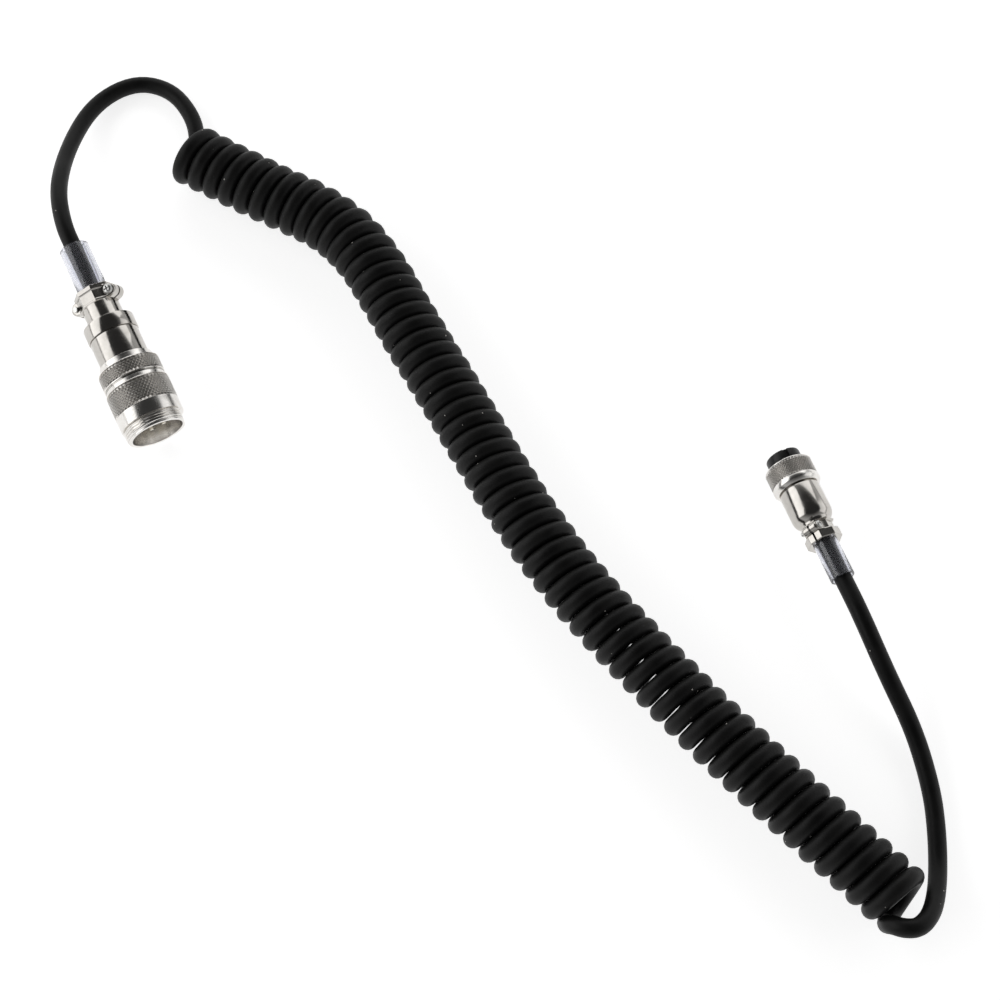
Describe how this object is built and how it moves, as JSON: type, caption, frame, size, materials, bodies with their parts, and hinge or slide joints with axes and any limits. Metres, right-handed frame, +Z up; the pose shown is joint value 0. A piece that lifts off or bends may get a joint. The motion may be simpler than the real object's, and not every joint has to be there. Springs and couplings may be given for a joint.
{
  "type": "coiled connecting cord",
  "caption": "Coiled black connecting cord between a round threaded pin connector and a smaller round plug with a knurled coupling ring, each with a cord clamp.",
  "frame": {"origin": "on the table, under the middle of the box around the two connectors", "axes": "+Z up from the table, +X from the jack's side to the plug's side, +Y away from the viewer"},
  "size_m": [0.3266, 0.3457, 0.0286],
  "materials": {
    "nickel_knurl": "nickel plate on brass, diamond knurl",
    "nickel": "nickel plate on turned brass, satin gloss",
    "screw_zinc": "bright plated steel",
    "clear_sleeve": "clear flexible PVC",
    "black_insulator": "black moulded insulator, satin",
    "spring_steel": "spring steel",
    "contact_silver": "silver plate",
    "wire_jackets": "coloured PVC",
    "shrink_black": "shrink sleeve",
    "cord_rubber": "matte black jacket"
  },
  "bodies": {
    "cord_set": {"jack_front_shell": "nickel_knurl", "jack_barrel": "nickel", "jack_back_shell": "nickel", "jack_clamp_strap": "nickel", "jack_clamp_screws": "screw_zinc", "jack_sleeve": "clear_sleeve", "jack_insulator": "black_insulator", "jack_circlip": "spring_steel", "jack_pins": "contact_silver", "jack_wires": "wire_jackets", "jack_wire_sleeves": "shrink_black", "jack_cord_end": "cord_rubber", "plug_front_shell": "nickel", "plug_back_shell": "nickel", "plug_clamp_strap": "nickel", "plug_clamp_screws": "screw_zinc", "plug_sleeve": "clear_sleeve", "plug_insert": "black_insulator", "plug_contacts": "contact_silver", "plug_wires": "wire_jackets", "plug_cord_end": "cord_rubber", "cord_jack_lead": "cord_rubber", "cord_coil": "cord_rubber", "cord_plug_lead": "cord_rubber"},
    "lock_washer": {"jack_lock_washer": "nickel"},
    "lock_ring": {"jack_lock_ring": "nickel_knurl"},
    "coupling_slide": {"plug_thrust_washer": "nickel"},
    "coupling_ring": {"plug_coupling_ring": "nickel_knurl"}
  },
  "joints": [
    {"name": "lock_ring_travel", "type": "slide", "parent": "cord_set", "child": "lock_washer", "axis": [-0.4326, 0.8908, 0.1392], "range_m": [0, 0.002]},
    {"name": "lock_ring_turn", "type": "hinge", "parent": "lock_washer", "child": "lock_ring", "pos_m": [-0.11684, 0.01471, 0.01501], "axis": [-0.4326, 0.8908, 0.1392], "range_deg": [0, 720]},
    {"name": "coupling_ring_float", "type": "slide", "parent": "cord_set", "child": "coupling_slide", "axis": [-0.3382, 0.9342, -0.1132], "range_m": [0, 0.0014]},
    {"name": "coupling_ring_spin", "type": "hinge", "parent": "coupling_slide", "child": "coupling_ring", "pos_m": [0.12725, -0.02495, 0.00991], "axis": [-0.3382, 0.9342, -0.1132], "continuous": true}
  ],
  "couplings": [
    {"joint": "lock_ring_turn", "follows": "lock_ring_travel", "rad_per_m": 6283.2}
  ]
}
